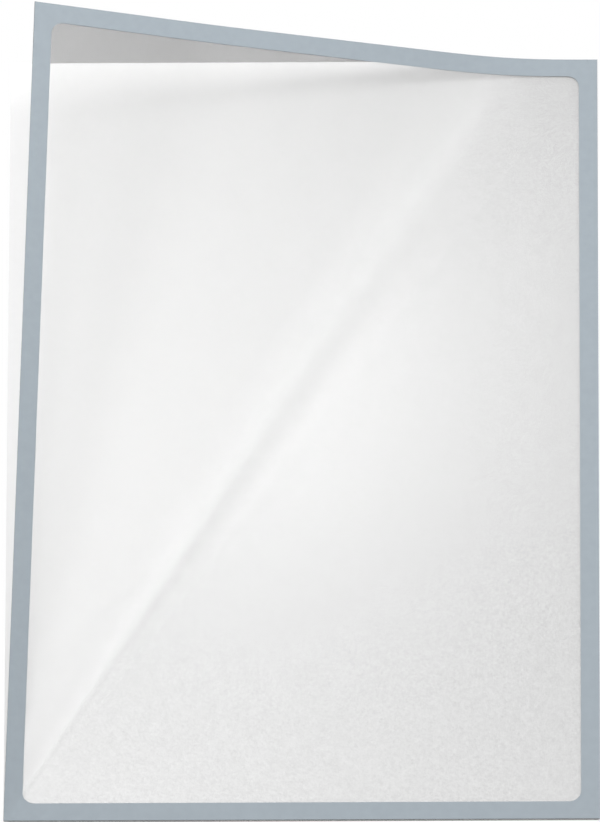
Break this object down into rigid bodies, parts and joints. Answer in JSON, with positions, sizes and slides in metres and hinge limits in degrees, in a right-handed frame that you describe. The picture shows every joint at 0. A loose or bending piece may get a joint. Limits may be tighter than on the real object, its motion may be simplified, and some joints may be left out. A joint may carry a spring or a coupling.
{
  "type": "magnetic display frame",
  "caption": "Flat magnetic frame for an A4 sheet: white rear panel, clear matt film cover with a grey-blue border, lifted at its top left corner.",
  "frame": {"origin": "middle of the back, in the plane of the rear strips' back faces, on which the frame lies and by which it clings to a board", "axes": "+Z out of the front, +Y up the sheet, +X to the right seen from the front"},
  "size_m": [0.224, 0.3191, 0.0667],
  "materials": {
    "film": "matt anti-glare clear film",
    "print": "smooth matt grey-blue",
    "magnet": "dull magnetic rubber",
    "panel": "satin white",
    "tape": "translucent white"
  },
  "bodies": {
    "root": {"rear_strip_left": "magnet", "rear_strip_right": "magnet", "rear_strip_bottom": "magnet", "rear_strip_top": "magnet", "rear_panel": "panel", "hinge_tape": "tape", "cover_strip_left": "magnet", "cover_strip_right": "magnet", "cover_strip_bottom": "magnet", "cover_strip_top": "magnet", "cover_film": "film", "cover_border": "print"}
  },
  "joints": []
}
